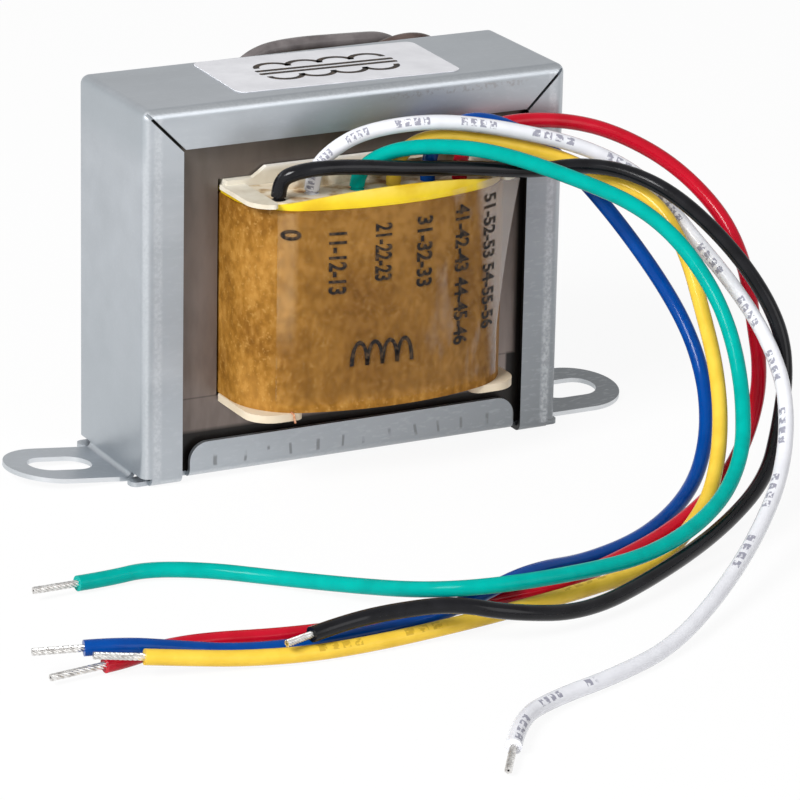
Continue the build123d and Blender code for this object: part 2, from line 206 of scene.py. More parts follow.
def bent_wire(name, route, radius, round_steps):
    """A round wire on a smooth line, its route in millimetres from the middle of the mounting surface."""
    curve = bpy.data.curves.new(name, "CURVE")
    curve.dimensions = "3D"
    curve.bevel_depth = radius
    curve.bevel_resolution = round_steps
    curve.use_fill_caps = True
    spline = curve.splines.new("NURBS")
    spline.points.add(len(route) - 1)
    for point, (x, y, z) in zip(spline.points, route):
        point.co = (x / 1000, y / 1000, z / 1000, 1)
    spline.order_u = 3
    spline.use_endpoint_u = True
    piece = bpy.data.objects.new(name, curve)
    bpy.context.collection.objects.link(piece)
    return piece


def take_up(piece):
    """Select one piece alone, for the operators that follow."""
    bpy.ops.object.select_all(action="DESELECT")
    piece.select_set(True)
    bpy.context.view_layer.objects.active = piece


wire_radius = 0.00014
smooth_angle = math.radians(40)
wire_route = [(-13.9, -19.9, 11.12), (-13.75, -20.35, 11.1), (-13.65, -20.35, 10.4), (-13.5, -20.3, 9.8)]
wire_end = bent_wire("copper_wire_end", wire_route, wire_radius, round_steps=2)
take_up(wire_end)
bpy.ops.object.convert(target="MESH")
bpy.ops.object.shade_smooth_by_angle(angle=smooth_angle)
coat(wire_end, bright_copper)
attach(wire_end, "root")


# Yellow film: thin polyester tape between the windings and round the outside of the coil.
# It stands up at the front and the rear, where the leads come out behind it, and its upper edge has a
# painted highlight.
film = Finish("yellow_film", roughness=0.32, gloss=0.35)
rub = film.mottle(130, 4)
deep = film.tint(rub, [(0.32, (0.66, 0.42, 0.005)), (0.5, (0.81, 0.595, 0.010))])
# Painted highlight: the film is paler towards its upper edge
painted_edge_highlight = film.calc("MULTIPLY", film.fade(film.axis("Z"), 0.0380, 0.0393), film.fade(rub, 0.35, 0.6))
film.colour(film.blend(painted_edge_highlight, deep, (0.84, 0.63, 0.13)))
film.relief(film.mottle(350, 2), 0.25, 0.0002)
dress("outer_tape", film)
dress("interwinding_tape", film)


# Lead pads: insulating paper laid on the winding in the notches, which the leads come up through.
# A crumpled strip of the same paper is tucked in behind the leads at the front and the rear.
pad_paper = Finish("pad_paper", roughness=0.75, gloss=0.2)
fibre = pad_paper.mottle(420, 5)
pad_paper.colour(pad_paper.tint(
    fibre, [(0.3, (0.24, 0.12, 0.05)), (0.42, (0.50, 0.37, 0.22)), (0.55, (0.68, 0.60, 0.47))]
))
pad_paper.relief(pad_paper.mottle(900, 4), 0.4, 0.0003)
dress("front_lead_pad", pad_paper)
dress("rear_lead_pad", pad_paper)


def give_wall(piece, thickness):
    """Make paper or film of a bare surface, half of its thickness on each side."""
    wall = piece.modifiers.new("wall", "SOLIDIFY")
    wall.thickness = thickness
    wall.offset = 0
    bpy.ops.object.modifier_apply(modifier="wall")
    bpy.ops.object.shade_smooth_by_angle(angle=smooth_angle)


strip_length = 0.026
strip_height = 0.0022
strip_thickness = 0.00018
strip_from_middle = 0.0134
fold_depth = 0.0022
crumple = bpy.data.textures.new("crumple", "CLOUDS")
crumple.noise_scale = 0.004
for name, pad, side in (
    ("front_paper_strip", "front_lead_pad", -1),
    ("rear_paper_strip", "rear_lead_pad", 1),
):
    pad_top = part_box(pad)[1].z
    bpy.ops.object.select_all(action="DESELECT")
    bpy.ops.mesh.primitive_grid_add(
        x_subdivisions=80, y_subdivisions=10, size=1, rotation=(math.radians(90), 0, 0),
        location=(0, side * strip_from_middle, pad_top + strip_height / 2),
    )
    strip = bpy.context.object
    strip.name = name
    strip.scale = (strip_length, strip_height, 1)
    bpy.ops.object.transform_apply(location=True, rotation=True, scale=True)
    fold = strip.modifiers.new("fold", "DISPLACE")
    fold.texture = crumple
    fold.texture_coords = "LOCAL"
    fold.direction = "Y"
    fold.strength = fold_depth
    bpy.ops.object.modifier_apply(modifier="fold")
    give_wall(strip, strip_thickness)
    coat(strip, pad_paper)
    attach(strip, "root")


# Paper wrap: brown kraft paper wound once round the coil and glued. It is mottled and golden where the
# varnish has soaked in.
kraft = Finish("kraft_paper", roughness=0.55, gloss=0.1)
soak = kraft.mottle(120, 7)
pulp = kraft.mottle(1000, 5, (1, 1, 0.7))
varnish = kraft.tint(
    soak, [(0.30, (0.155, 0.060, 0.006)), (0.5, (0.285, 0.130, 0.018)), (0.70, (0.460, 0.225, 0.045))]
)
speck = kraft.tint(
    pulp, [(0.36, (0.120, 0.045, 0.004)), (0.5, (0.280, 0.125, 0.018)), (0.64, (0.470, 0.245, 0.060))]
)
paper = kraft.blend(0.36, varnish, speck)
paper = kraft.blend(kraft.fade(kraft.mottle(2200, 3), 0.58, 0.70, 0, 0.35), paper, (0.55, 0.33, 0.10))
# The glue of the clear tape has darkened the paper under it
glued = kraft.calc(
    "MULTIPLY",
    kraft.fade(kraft.axis("X"), -0.0165, -0.0125),
    kraft.fade(kraft.axis("Y"), -0.0150, -0.0155),
    kraft.fade(kraft.axis("Z"), 0.0118, 0.0132, 0, 0.42),
)
kraft.colour(kraft.blend(glued, paper, (0.085, 0.036, 0.006)))
kraft.relief(pulp, 0.25, 0.0002)
dress("paper_wrap", kraft)


# Clear tape: a clear strip over the front of the paper, pressed round both corners. Its top right end
# has come loose and looks whitish. The tap numbers and the winding's sign are printed on it in black.
def pick(piece, test):
    """Select the corners of a mesh that pass a test, and stay in edit mode."""
    bpy.ops.object.mode_set(mode="EDIT")
    bpy.ops.mesh.select_mode(type="VERT")
    bpy.ops.mesh.select_all(action="DESELECT")
    bpy.ops.object.mode_set(mode="OBJECT")
    for vertex in piece.data.vertices:
        vertex.select = test(vertex.co)
    bpy.ops.object.mode_set(mode="EDIT")


clear = Finish("clear_film", roughness=0.22, gloss=0.15)
across = clear.axis("X")
edge_dirt = clear.calc(
    "MULTIPLY", clear.fade(across, -0.01545, -0.0156), clear.fade(clear.mottle(1500, 2), 0.45, 0.55)
)
blister = clear.fade(clear.mottle(160, 3, (1, 1, 0.4)), 0.42, 0.65)
left_lift = clear.calc(
    "MULTIPLY",
    clear.stripe(across, -0.0154, -0.0140, 0.0009),
    blister,
    clear.fade(clear.axis("Z"), 0.016, 0.026),
)
creases = clear.fade(clear.mottle(240, 4, (1, 1, 0.35)), 0.54, 0.70)
creases = clear.calc("MULTIPLY", creases, clear.fade(across, 0.000, 0.010))
# The loose end is wider at the top
lean = clear.calc("MULTIPLY", clear.calc("SUBTRACT", clear.axis("Z"), 0.018), 0.13)
right_loose = clear.fade(clear.calc("ADD", across, lean), 0.0135, 0.0158)
veil = 0.012
for share, strength in ((left_lift, 0.14), (creases, 0.16), (right_loose, 0.30), (edge_dirt, 0.5)):
    veil = clear.calc("MAXIMUM", clear.calc("MULTIPLY", share, strength), veil)
clear.give(clear.shader.inputs["Alpha"], veil)
haze = clear.blend(clear.fade(across, -0.012, 0.012), (0.70, 0.47, 0.24), (0.66, 0.60, 0.57))
clear.colour(clear.blend(edge_dirt, haze, (0.05, 0.025, 0.01)))
clear.relief(clear.mottle(260, 2), 0.15, 0.0003)

paper_low, paper_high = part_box("paper_wrap")
tape_lift = 0.00008
tape_thickness = 0.00005
tape_bottom = 0.0120
tape_height = 0.0250
tape_top_slope = 0.05
corner_radius = 0.0090 + tape_lift
front_radius = 0.0423 + tape_lift
corner_x = paper_high.x + tape_lift - corner_radius
front_centre = front_radius + paper_low.y - tape_lift
corner_centre = front_centre - math.sqrt((front_radius - corner_radius) ** 2 - corner_x ** 2)
meet = math.asin(corner_x / (front_radius - corner_radius))
left_turn = math.radians(40)
right_turn = math.radians(42)
peel_turn = math.radians(24)
loose_width = 0.0040
loose_height = 0.0200
loose_steps = 3
least_loose = 0.04

bpy.ops.object.select_all(action="DESELECT")
bpy.ops.mesh.primitive_plane_add(size=1, location=(0, 0, 0))
tape = bpy.context.object
tape.name = "clear_strip"
pick(tape, lambda place: place.x > 0)
bpy.ops.mesh.delete(type="VERT")
bpy.ops.mesh.select_all(action="SELECT")
bpy.ops.mesh.subdivide(number_cuts=23)
bpy.ops.object.mode_set(mode="OBJECT")
start_x = -corner_x - corner_radius * math.sin(left_turn)
start_y = corner_centre - corner_radius * math.cos(left_turn)
for vertex in tape.data.vertices:
    vertex.co = (start_x, start_y, tape_bottom + (vertex.co.y + 0.5) * tape_height)
bpy.ops.object.mode_set(mode="EDIT")
bpy.ops.mesh.select_all(action="SELECT")
for centre, turn, steps in (
    ((-corner_x, corner_centre, 0), left_turn - meet, 10),
    ((0, front_centre, 0), 2 * meet, 24),
    ((corner_x, corner_centre, 0), right_turn - meet, 10),
):
    # The operator turns clockwise for a positive angle
    bpy.ops.mesh.spin(steps=steps, angle=-turn, center=centre, axis=(0, 0, 1))
away = Vector((math.cos(right_turn), math.sin(right_turn), 0))
off_paper = Vector((math.sin(right_turn), -math.cos(right_turn), 0))
for step in range(loose_steps):
    bpy.ops.mesh.extrude_region_move(TRANSFORM_OT_translate={"value": away * loose_width / loose_steps})
bpy.ops.object.mode_set(mode="OBJECT")
corner = Vector((corner_x, corner_centre, 0))
loose_start = corner + off_paper * corner_radius
peel_start = corner + Vector((math.sin(peel_turn), -math.cos(peel_turn), 0)) * corner_radius
peel_way = Vector((math.cos(peel_turn), math.sin(peel_turn), 0))
for vertex in tape.data.vertices:
    place = vertex.co.copy()
    up_tape = (place.z - tape_bottom) / tape_height
    loose = max(0, 1 - (1 - up_tape) * tape_height / loose_height)
    turn = math.atan2(place.x - corner_x, corner_centre - place.y)
    out = (place - loose_start).dot(away)
    # The loose end narrows downwards, and stands off the paper further towards the top
    if out > 1e-6:
        place += away * out * (max(least_loose, loose) - 1)
        along = corner_radius * (right_turn - peel_turn) + out * max(least_loose, loose)
    else:
        along = corner_radius * (turn - peel_turn)
    if place.x > corner_x and along > 0:
        straight = peel_start + peel_way * along
        straight.z = place.z
        place = place.lerp(straight, loose)
    place.z += (place.x - start_x) * tape_top_slope * up_tape
    vertex.co = place
give_wall(tape, tape_thickness)
coat(tape, clear)
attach(tape, "root")
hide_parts("clear_tape")

ink = Finish("black_ink", roughness=0.55, gloss=0.2)
worn = ink.mottle(1800, 3)
ink.colour(ink.tint(worn, [(0.35, (0.07, 0.042, 0.022)), (0.55, (0.010, 0.008, 0.007))]))
ink_lift = 0.00004


def set_at(piece, place):
    """Move the selected piece to its place, and keep that place in its mesh."""
    piece.matrix_world = place
    bpy.ops.object.transform_apply(location=True, rotation=True, scale=True)


def press_on_tape(piece):
    """Lay flat ink on the tape's curve, from in front of it."""
    press = piece.modifiers.new("press", "SHRINKWRAP")
    press.target = tape
    press.wrap_method = "PROJECT"
    press.use_project_y = True
    press.use_negative_direction = False
    press.use_positive_direction = True
    press.offset = ink_lift
    bpy.ops.object.modifier_apply(modifier="press")
    coat(piece, ink)
    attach(piece, "root")


in_front = paper_low.y - 0.004
figure_height = 0.0023
figure_cuts = 7
cut_apart = 0.09
tap_columns = [
    ("0", -0.01405, 0.0350, 0.0014),
    ("11-12-13", -0.0084, 0.0349, 0.0081),
    ("21-22-23", -0.0024, 0.0352, 0.0075),
    ("31-32-33", 0.0034, 0.0355, 0.0092),
    ("41-42-43 44-45-46", 0.0092, 0.0360, 0.0185),
    ("51-52-53 54-55-56", 0.0138, 0.0366, 0.0178),
]
for number, (text, x, top, length) in enumerate(tap_columns):
    bpy.ops.object.select_all(action="DESELECT")
    bpy.ops.object.text_add(location=(0, 0, 0))
    column = bpy.context.object
    column.name = f"tap_number_{number}"
    column.data.body = text
    column.data.size = 1
    column.data.offset = 0.03
    column.data.resolution_u = 4
    bpy.ops.object.convert(target="MESH")
    bpy.ops.object.mode_set(mode="EDIT")
    # Cuts across the figures let them bend with the tape
    for cut in range(1, figure_cuts + 1):
        bpy.ops.mesh.select_all(action="SELECT")
        bpy.ops.mesh.bisect(plane_co=(0, cut * cut_apart, 0), plane_no=(0, 1, 0))
    bpy.ops.object.mode_set(mode="OBJECT")
    # The text reads downwards, with the tops of its figures to the right
    size = column.dimensions
    shape = Matrix.Diagonal((length / size.x, figure_height / size.y, 1, 1))
    hang = Matrix(((0, 1, 0, x - figure_height / 2), (0, 0, -1, in_front), (-1, 0, 0, top), (0, 0, 0, 1)))
    set_at(column, hang @ shape)
    press_on_tape(column)


loops_in_row = 4


def row_of_loops(name, half_width, height, line):
    """Open loops side by side, drawn as one line: the sign for a winding."""
    bpy.ops.object.select_all(action="DESELECT")
    bpy.ops.mesh.primitive_circle_add(vertices=48, radius=1, fill_type="NOTHING")
    loops = bpy.context.object
    loops.name = name
    pick(loops, lambda place: place.y < -1e-4)
    bpy.ops.mesh.delete(type="VERT")
    bpy.ops.mesh.select_all(action="SELECT")
    bpy.ops.transform.resize(value=(half_width, height, 1), center_override=(0, 0, 0))
    bpy.ops.mesh.extrude_region_move()
    inner = (1 - line / half_width, 1 - line / height, 1)
    bpy.ops.transform.resize(value=inner, center_override=(0, 0, 0))
    bpy.ops.object.mode_set(mode="OBJECT")
    row = loops.modifiers.new("row", "ARRAY")
    row.count = loops_in_row
    row.use_relative_offset = False
    row.use_constant_offset = True
    row.constant_offset_displace = (2 * half_width - line, 0, 0)
    bpy.ops.object.modifier_apply(modifier="row")
    return loops


sign_x = -0.0055
sign_z = 0.0168
sign = row_of_loops("winding_sign", half_width=0.0013, height=0.0033, line=0.00055)
set_at(sign, Matrix(((1, 0, 0, sign_x), (0, 0, -1, in_front), (0, 1, 0, sign_z), (0, 0, 0, 1))))
press_on_tape(sign)


# Core: thin sheets of silicon steel with a grey-brown oxide skin. The E sheets hold the coil on
# their middle leg and the I bars close them below, so a fine joint shows above the base flange.
oxide = Finish("core_steel", roughness=0.35, metallic=0.35, gloss=0.35)
cloud = oxide.mottle(45, 4)
fleck = oxide.mottle(700, 3, (1, 1, 0.25))
skin = oxide.tint(cloud, [(0.3, (0.128, 0.103, 0.091)), (0.65, (0.280, 0.230, 0.211))])
streak = oxide.tint(fleck, [(0.35, (0.128, 0.105, 0.092)), (0.6, (0.252, 0.210, 0.192))])
body = oxide.blend(0.3, skin, streak)
core_x = oxide.axis("X")
core_z = oxide.axis("Z")
# Painted shade: the core is darker towards the top
body = oxide.blend(oxide.fade(core_z, 0.010, 0.042, 0, 0.66), body, (0.070, 0.061, 0.050))
# Sheet edges show as fine lines on every face but the front and the rear
facing_y = oxide.axis("Y", "Normal")
side_on = oxide.calc("SUBTRACT", 1, oxide.calc("MULTIPLY", facing_y, facing_y))
sheet_edges = oxide.calc("MULTIPLY", oxide.bands("Y", 0.0005), side_on)
body = oxide.blend(sheet_edges, body, (0.05, 0.045, 0.04))
# Painted shade darkens the core along the frame's edges, over the base flange and at the right end of the
# joint, and the joint itself is a fine dark line
flange_gap_shade = oxide.fade(oxide.calc("ABSOLUTE", core_x), 0.0236, 0.0242)
base_gap_shade = oxide.fade(core_z, 0.0066, 0.0060)
joint_end_shade = oxide.calc("MULTIPLY", oxide.fade(core_x, 0.0226, 0.0229), oxide.fade(core_z, 0.0110, 0.0106))
joint_line = oxide.stripe(core_z, 0.01062, 0.01078, 0.00005)
gap_shade_and_joint = oxide.calc("MAXIMUM", flange_gap_shade, base_gap_shade, joint_end_shade, oxide.calc("MULTIPLY", joint_line, 0.4))
oxide.colour(oxide.blend(oxide.calc("MULTIPLY", gap_shade_and_joint, 0.93), body, (0.004, 0.004, 0.004)))
oxide.relief(fleck, 0.1, 0.0001)
dress("e_laminations", oxide)
dress("i_laminations", oxide)


# Frame and base plate: two folded sheets of zinc-plated steel. The frame drops over the core, and its
# corner tabs are bent under the base plate. The plating carries painted shade to the right and painted
# highlights on the bends.
def zinc_plate(name):
    """Satin zinc plating with painted highlights on the bends and painted shade, and its colour so far."""
    zinc = Finish(name, roughness=0.36, metallic=0.9)
    plate = zinc.mottle(60, 5)
    roll = zinc.mottle(260, 5, (0.12, 1, 1))
    bluish = zinc.tint(plate, [(0.3, (0.405, 0.437, 0.470)), (0.7, (0.492, 0.524, 0.562))])
    rolled = zinc.tint(roll, [(0.3, (0.390, 0.417, 0.449)), (0.7, (0.515, 0.546, 0.580))])
    tone = zinc.blend(0.4, bluish, rolled)
    across = zinc.axis("X")
    outward = zinc.calc("ABSOLUTE", across)
    height = zinc.axis("Z")
    turned = []
    for direction in ("X", "Y", "Z"):
        facing = zinc.axis(direction, "Normal")
        turned.append(zinc.calc("MULTIPLY", facing, facing))
    # Painted highlight on the bends at the front and the rear, weaker to the right
    ragged = zinc.mottle(2600, 5)
    bend_highlight = zinc.calc(
        "MULTIPLY",
        zinc.fade(zinc.calc("MAXIMUM", *turned), 0.96, 0.75),
        zinc.fade(ragged, 0.3, 0.6, 0.5, 1.0),
        zinc.fade(turned[1], 0.02, 0.1),
        zinc.fade(across, 0.0, 0.028, 1.0, 0.65),
    )
    tone = zinc.blend(bend_highlight, tone, (0.58, 0.61, 0.64))
    # Painted shade towards the lower right, though less on the ear
    lower_right_shade = zinc.calc(
        "MULTIPLY",
        zinc.fade(across, -0.024, 0.034),
        zinc.fade(across, 0.0299, 0.0312, 1.0, 0.75),
        zinc.fade(height, 0.0, 0.049, 1.0, 0.06),
    )
    tone = zinc.blend(lower_right_shade, tone, (0.165, 0.175, 0.184))
    # Fine scratches and rubbed specks, most of all on the ears
    rubbed = zinc.fade(zinc.mottle(2400, 5, (0.35, 1, 1)), 0.54, 0.68, 0, 0.35)
    ears = zinc.fade(outward, 0.0298, 0.0310, 0.3, 0.6)
    tone = zinc.blend(zinc.calc("MULTIPLY", rubbed, ears), tone, (0.66, 0.69, 0.72))
    # Painted highlight on the cut edges of the ears
    on_ear = zinc.fade(outward, 0.0312, 0.0314)
    ear_edge_highlight = zinc.calc("MULTIPLY", on_ear, zinc.fade(turned[2], 0.6, 0.3, 0, 0.75))
    tone = zinc.blend(ear_edge_highlight, tone, (0.78, 0.80, 0.82))
    # Painted shade: the sides are a little bluer and darker under the top, and again, a little less, towards
    # the ears
    side_wall_shade = zinc.calc("MAXIMUM", zinc.fade(height, 0.0415, 0.0450), zinc.fade(height, 0.032, 0.010, 0, 0.8))
    side_wall_shade = zinc.calc("MULTIPLY", side_wall_shade, zinc.fade(turned[0], 0.3, 0.6, 0, 0.5))
    tone = zinc.blend(side_wall_shade, tone, (0.36, 0.40, 0.43))
    # Painted highlight: a ragged bright line on the flanges beside the upright bends
    bend_edge_highlight = zinc.calc(
        "MULTIPLY",
        zinc.stripe(outward, 0.0275, 0.0282, 0.0004),
        zinc.fade(ragged, 0.40, 0.66, 0.10, 0.38),
        zinc.fade(turned[1], 0.9, 0.95),
    )
    tone = zinc.blend(bend_edge_highlight, tone, (0.75, 0.77, 0.80))
    zinc.polish(roll, 0.30, 0.46)
    zinc.relief(zinc.mottle(1400, 3), 0.06, 0.0001)
    return zinc, tone


frame_zinc, tone = zinc_plate("zinc_frame")
# Painted shade: the flanges' cut edges beside the core are dark
cut_edge_shade = frame_zinc.calc(
    "MULTIPLY",
    frame_zinc.stripe(frame_zinc.calc("ABSOLUTE", frame_zinc.axis("X")), 0.0242, 0.0245, 0.0001),
    frame_zinc.fade(frame_zinc.calc("ABSOLUTE", frame_zinc.axis("X", "Normal")), 0.8, 0.9),
)
tone = frame_zinc.blend(cut_edge_shade, tone, (0.02, 0.02, 0.02))
# A line of brown specks runs along the right half of the top flange
specks = frame_zinc.calc(
    "MULTIPLY",
    frame_zinc.stripe(frame_zinc.axis("Z"), 0.0473, 0.0479, 0.0002),
    frame_zinc.stripe(frame_zinc.axis("X"), 0.005, 0.022, 0.003),
    frame_zinc.fade(frame_zinc.mottle(2600, 3), 0.48, 0.62, 0, 0.3),
)
frame_zinc.colour(frame_zinc.blend(specks, tone, (0.20, 0.15, 0.13)))
dress("channel_frame", frame_zinc)

base_zinc, tone = zinc_plate("zinc_base")
# The press has left short dark scuffs along the front of the base flange
scuffs = base_zinc.calc(
    "MULTIPLY",
    base_zinc.fade(base_zinc.bands("X", 0.0036, 3.0), 0.95, 0.99),
    base_zinc.stripe(base_zinc.axis("Z"), 0.0020, 0.0032, 0.0003),
    base_zinc.fade(base_zinc.mottle(420, 2), 0.38, 0.5, 0, 0.7),
)
base_zinc.colour(base_zinc.blend(scuffs, tone, (0.16, 0.165, 0.17)))
dress("base_plate", base_zinc)


# Top label: a white coated sticker on the frame, put on a little askew. It carries a plain drawing
# of two windings with a core between them.
coated = Finish("label_paper", roughness=0.5, gloss=0.25)
coated.colour(coated.tint(coated.mottle(300, 4), [(0.3, (0.65, 0.65, 0.68)), (0.7, (0.74, 0.74, 0.77))]))
coated.relief(coated.mottle(1200, 3), 0.08, 0.0001)
dress("top_label", coated)

label_low, label_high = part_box("top_label")
label_middle = (label_low + label_high) / 2
print_lift = 0.00002
label_middle.z = label_high.z + print_lift
label_askew = math.radians(-2.4)
on_label = Matrix.Translation(label_middle) @ Matrix.Rotation(label_askew, 4, "Z")
loop_half_width = 0.0026
loop_height = 0.0023
drawn_line = 0.0008
loops_from_middle = 0.0020
half_row = (loops_in_row - 1) / 2 * (2 * loop_half_width - drawn_line)
row_middle = Matrix.Translation((-half_row, loops_from_middle, 0))
for name, turn in (("label_winding_a", 0), ("label_winding_b", math.pi)):
    winding = row_of_loops(name, loop_half_width, loop_height, drawn_line)
    set_at(winding, on_label @ Matrix.Rotation(turn, 4, "Z") @ row_middle)
    coat(winding, ink)
    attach(winding, "root")
core_line_reach = 0.0092
core_line_rounding = 0.00028
core_line_from_middle = 0.0007
for name, y in (
    ("label_core_line_a", core_line_from_middle),
    ("label_core_line_b", -core_line_from_middle),
):
    bpy.ops.object.select_all(action="DESELECT")
    bpy.ops.mesh.primitive_plane_add(size=drawn_line, location=(0, 0, 0))
    bar = bpy.context.object
    bar.name = name
    pick(bar, lambda place: place.x > 0)
    bpy.ops.transform.translate(value=(core_line_reach, 0, 0))
    pick(bar, lambda place: place.x < 0)
    bpy.ops.transform.translate(value=(-core_line_reach, 0, 0))
    bpy.ops.mesh.select_all(action="SELECT")
    bpy.ops.mesh.bevel(offset=core_line_rounding, segments=4, affect="VERTICES")
    bpy.ops.object.mode_set(mode="OBJECT")
    set_at(bar, on_label @ Matrix.Translation((0, y, 0)))
    coat(bar, ink)
    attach(bar, "root")


# Leads: stranded copper in a PVC sleeve, 2 mm across. They come up out of the coil, arch to the right
# and lie loose on the surface. Each is stripped, and its strands are twisted and tinned.
figures_in_group = 7


def pvc(name, dark, light, print_colour=None, figures=0, stretches=(), gloss=0.15):
    """A soft, slightly scuffed PVC sleeve, with worn print marks on stretches of its length."""
    sleeve = Finish(name, roughness=0.25, gloss=gloss)
    scuff = sleeve.mottle(380, 5)
    body = sleeve.tint(scuff, [(0.3, dark), (0.62, light)])
    if print_colour:
        along = sleeve.axis("X", "UV")
        figure = sleeve.calc("FRACT", sleeve.calc("MULTIPLY", along, figures))
        group = sleeve.calc("FRACT", sleeve.calc("MULTIPLY", along, figures / figures_in_group))
        # The lead is twisted a little, so the print winds round it towards the end
        around = sleeve.calc("ADD", sleeve.axis("Y", "UV"), sleeve.fade(along, 0.55, 0.80, 0, 0.26))
        row = sleeve.stripe(around, 0.26, 0.42, 0.015)
        broken = sleeve.fade(sleeve.mottle(1, 1, (figures * 2.4, 14, 1), "UV"), 0.40, 0.50)
        marks = sleeve.stripe(figure, 0.12, 0.74, 0.05)
        spaced = sleeve.fade(group, 0.56, 0.58, 1, 0)
        printed = 0.0
        for start, end in stretches:
            printed = sleeve.calc("ADD", printed, sleeve.stripe(along, start, end, 0.005))
        marks = sleeve.calc("MULTIPLY", marks, spaced, row, broken, printed)
        body = sleeve.blend(marks, body, print_colour)
    sleeve.colour(body)
    sleeve.polish(scuff, 0.08, 0.24)
    sleeve.relief(sleeve.mottle(1600, 2), 0.03, 0.0001)
    return sleeve


tinned = Finish("tinned_strands", roughness=0.28, metallic=1.0)
solder = tinned.mottle(1500, 4)
tinned.colour(tinned.tint(solder, [(0.3, (0.50, 0.48, 0.46)), (0.65, (0.90, 0.89, 0.87))]))
tinned.relief(tinned.mottle(2600, 3), 0.3, 0.0001)

# One strand is drawn out of a small rod, copied five times round, and the six are twisted together
end_length = 0.006
strand_radius = 0.00017
strand_from_middle = 0.00028
strand_count = 6
strand_cuts = 27
strand_twist = math.radians(620)
strand_smooth_angle = math.radians(50)
bpy.ops.object.select_all(action="DESELECT")
bpy.ops.mesh.primitive_cylinder_add(
    vertices=8, radius=strand_radius, depth=end_length, location=(strand_from_middle, 0, end_length / 2)
)
strand = bpy.context.object
bpy.ops.object.transform_apply(location=True, rotation=True, scale=True)
bpy.ops.object.mode_set(mode="EDIT")
for cut in range(1, strand_cuts + 1):
    bpy.ops.mesh.select_all(action="SELECT")
    bpy.ops.mesh.bisect(plane_co=(0, 0, end_length * cut / (strand_cuts + 1)), plane_no=(0, 0, 1))
bpy.ops.object.mode_set(mode="OBJECT")
for number in range(1, strand_count):
    copy = bpy.data.objects.new(f"strand_{number}", strand.data.copy())
    copy.matrix_world = Matrix.Rotation(math.radians(360 / strand_count * number), 4, "Z")
    bpy.context.collection.objects.link(copy)
    copy.select_set(True)
bpy.context.view_layer.objects.active = strand
bpy.ops.object.join()
lay = strand.modifiers.new("lay", "SIMPLE_DEFORM")
lay.deform_method = "TWIST"
lay.deform_axis = "Z"
lay.angle = strand_twist
bpy.ops.object.modifier_apply(modifier="lay")
bpy.ops.object.shade_smooth_by_angle(angle=strand_smooth_angle)
coat(strand, tinned)
twisted_end = strand.data.copy()
bpy.data.objects.remove(strand)


def tin_end(node, route, share=1.0):
    """A twisted, tinned end in the place of a plain one, along the lead's last run."""
    end = Vector(route[-1]) / 1000
    along = (end - Vector(route[-2]) / 1000).normalized()
    tip = bpy.data.objects.new(node.replace("lead_tip", "bare_end"), twisted_end.copy())
    bpy.context.collection.objects.link(tip)
    turn = along.to_track_quat("Z", "Y").to_matrix().to_4x4()
    take_up(tip)
    set_at(tip, Matrix.Translation(end) @ turn @ Matrix.Diagonal((1, 1, share, 1)))
    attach(tip, "root")
    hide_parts(node)
    return tip


sleeve_radius = 0.00097


def fit_lead(colour, route, sleeve, end_share=1.0, side=""):
    """Lay a lead along its route in the place of its plain solid, and tin its end."""
    lead = bent_wire(f"{colour}_lead", route, sleeve_radius, round_steps=5)
    lead.data.resolution_u = 10
    lead.data.twist_mode = "Z_UP"
    coat(lead, sleeve)
    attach(lead, "root")
    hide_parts(f"{side}lead_{colour}")
    end = tin_end(f"{side}lead_tip_{colour}", route, end_share)


black_route = [
    (-14.6, -17, 38.2), (-14.6, -17, 40.6), (-12.8, -18.3, 41.9), (-9, -18.9, 42.2),
    (-4, -19.3, 41.8), (1, -19.6, 41.1), (10.5, -20.3, 40.3), (19, -22.2, 39.4),
    (24.5, -23.5, 40), (29.5, -27.5, 39.6), (34, -33, 37), (39.2, -39, 30.4),
    (42.2, -43.6, 23.4), (42.5, -46, 17.4), (39.5, -49.5, 11.2), (34.5, -55, 6.6),
    (24.5, -61.5, 3.8), (11.5, -69, 2.6), (-2, -75, 1.8), (-13, -76.5, 4),
    (-19.5, -74.5, 5.6), (-26, -71.5, 4.6), (-31.5, -70.5, 3.8), (-36.5, -71.5, 3.4),
]
black_sleeve = pvc("pvc_black", (0.003, 0.003, 0.004), (0.008, 0.008, 0.010), gloss=0.22)
fit_lead("black", black_route, black_sleeve, end_share=0.6)

white_route = [
    (-9.5, -16, 38.2), (-9.5, -16, 40.6), (-7.5, -16.5, 43.4), (-2.5, -16.5, 45.6),
    (6.5, -17.5, 46.2), (15.5, -18.5, 44.6), (26.5, -21, 41.6), (34, -24.5, 37.2),
    (37, -30, 31.4), (39.5, -37.5, 26), (40.3, -45, 20.9), (39, -52, 15.6),
    (33.5, -60.5, 9.6), (24.5, -69.5, 5.6), (13.5, -79, 2.8), (2.5, -87, 1),
    (-8, -92, 1), (-18, -95.5, 1.2), (-24.5, -99.5, 1.4), (-28.5, -105.5, 1),
]
white_print = ((0.0, 0.74), (0.885, 1.0))
white_sleeve = pvc(
    "pvc_white", (0.69, 0.695, 0.735), (0.75, 0.755, 0.795),
    print_colour=(0.30, 0.30, 0.36), figures=130, stretches=white_print,
)
fit_lead("white", white_route, white_sleeve)

